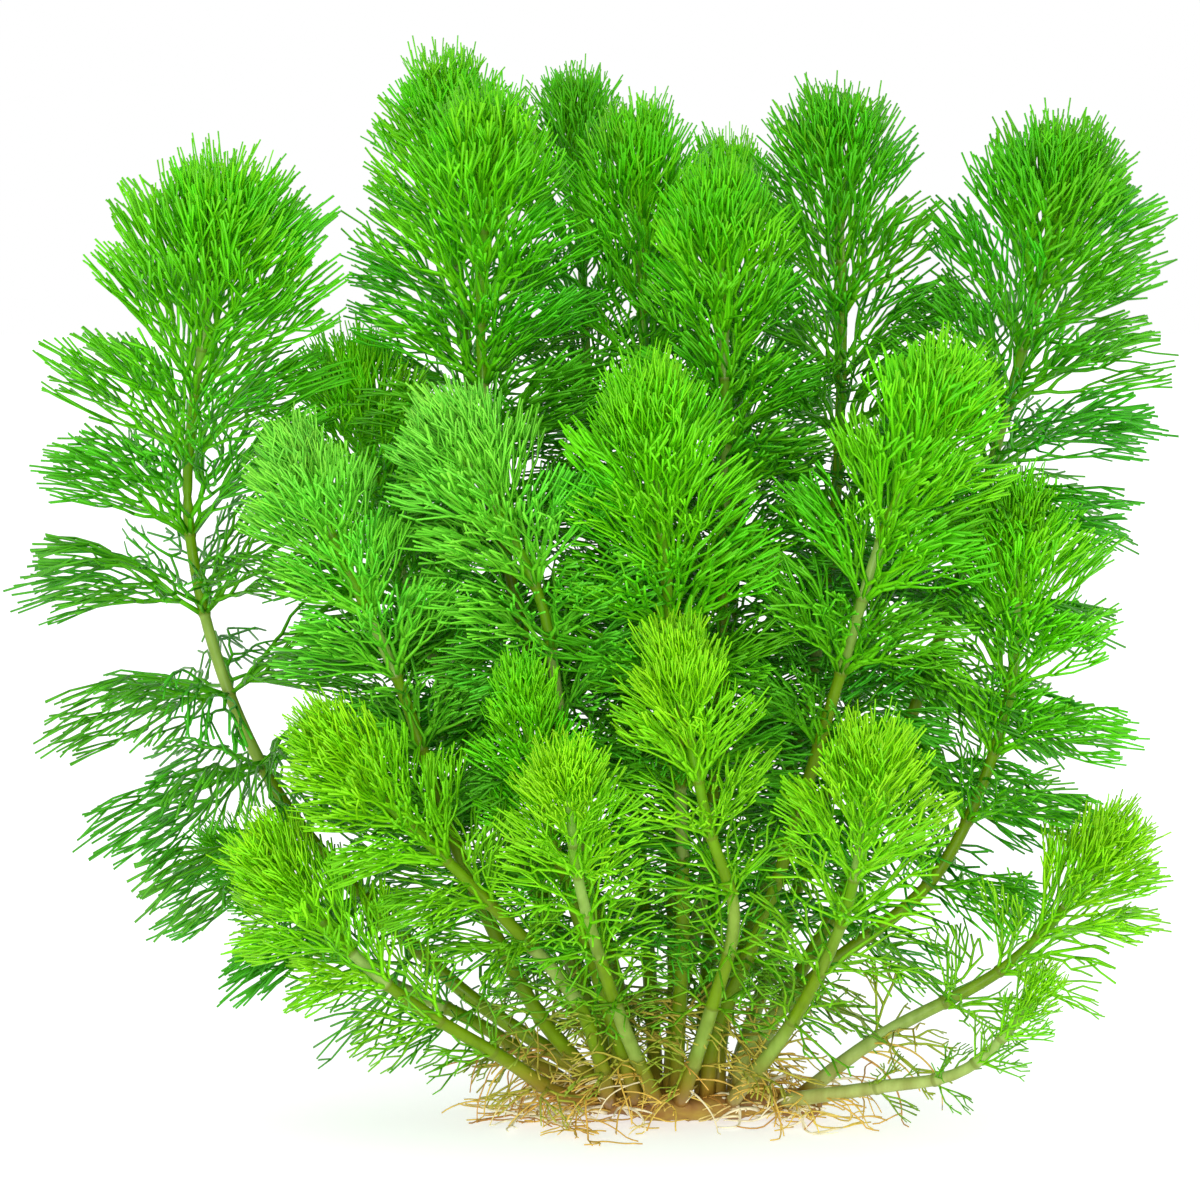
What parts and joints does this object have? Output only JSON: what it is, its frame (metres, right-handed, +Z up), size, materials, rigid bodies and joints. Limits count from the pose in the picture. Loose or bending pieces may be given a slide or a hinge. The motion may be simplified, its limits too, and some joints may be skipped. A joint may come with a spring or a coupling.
{
  "type": "rooted giant ambulia water plant",
  "caption": "Bushy rooted stem plant for ponds and water gardens, with brushes of whorled, finely divided leaves on stems that fan out from one crown.",
  "frame": {"origin": "on the crown's flat underside, at the ground, below the middle of the plant", "axes": "+X to the right in the picture, along the crown and the plant's width; +Y away from the viewer; +Z up along the stems"},
  "size_m": [0.2105, 0.1468, 0.2011],
  "materials": {
    "crown": "matte",
    "stem": "satin",
    "leaves": "satin",
    "roots": "matte"
  },
  "bodies": {
    "root": {"crown": "crown", "stem_01": "stem", "stem_02": "stem", "stem_03": "stem", "stem_04": "stem", "stem_05": "stem", "stem_06": "stem", "stem_07": "stem", "stem_08": "stem", "stem_09": "stem", "stem_10": "stem", "stem_11": "stem", "stem_12": "stem", "stem_13": "stem", "stem_14": "stem", "stem_15": "stem", "stem_16": "stem", "stem_17": "stem", "stem_18": "stem", "stem_19": "stem", "stem_20": "stem", "stem_21": "stem", "stem_22": "stem", "stem_23": "stem", "stem_24": "stem", "stem_25": "stem", "stem_26": "stem", "stem_27": "stem", "leaves_01": "leaves", "leaves_02": "leaves", "leaves_03": "leaves", "leaves_04": "leaves", "leaves_05": "leaves", "leaves_06": "leaves", "leaves_07": "leaves", "leaves_08": "leaves", "leaves_09": "leaves", "leaves_10": "leaves", "leaves_11": "leaves", "leaves_12": "leaves", "leaves_13": "leaves", "leaves_14": "leaves", "leaves_15": "leaves", "leaves_16": "leaves", "leaves_17": "leaves", "leaves_18": "leaves", "leaves_19": "leaves", "leaves_20": "leaves", "leaves_21": "leaves", "leaves_22": "leaves", "leaves_23": "leaves", "leaves_24": "leaves", "leaves_25": "leaves", "leaves_26": "leaves", "leaves_27": "leaves", "roots_left": "roots", "roots_right": "roots", "roots_front": "roots", "roots_back": "roots"}
  },
  "joints": []
}
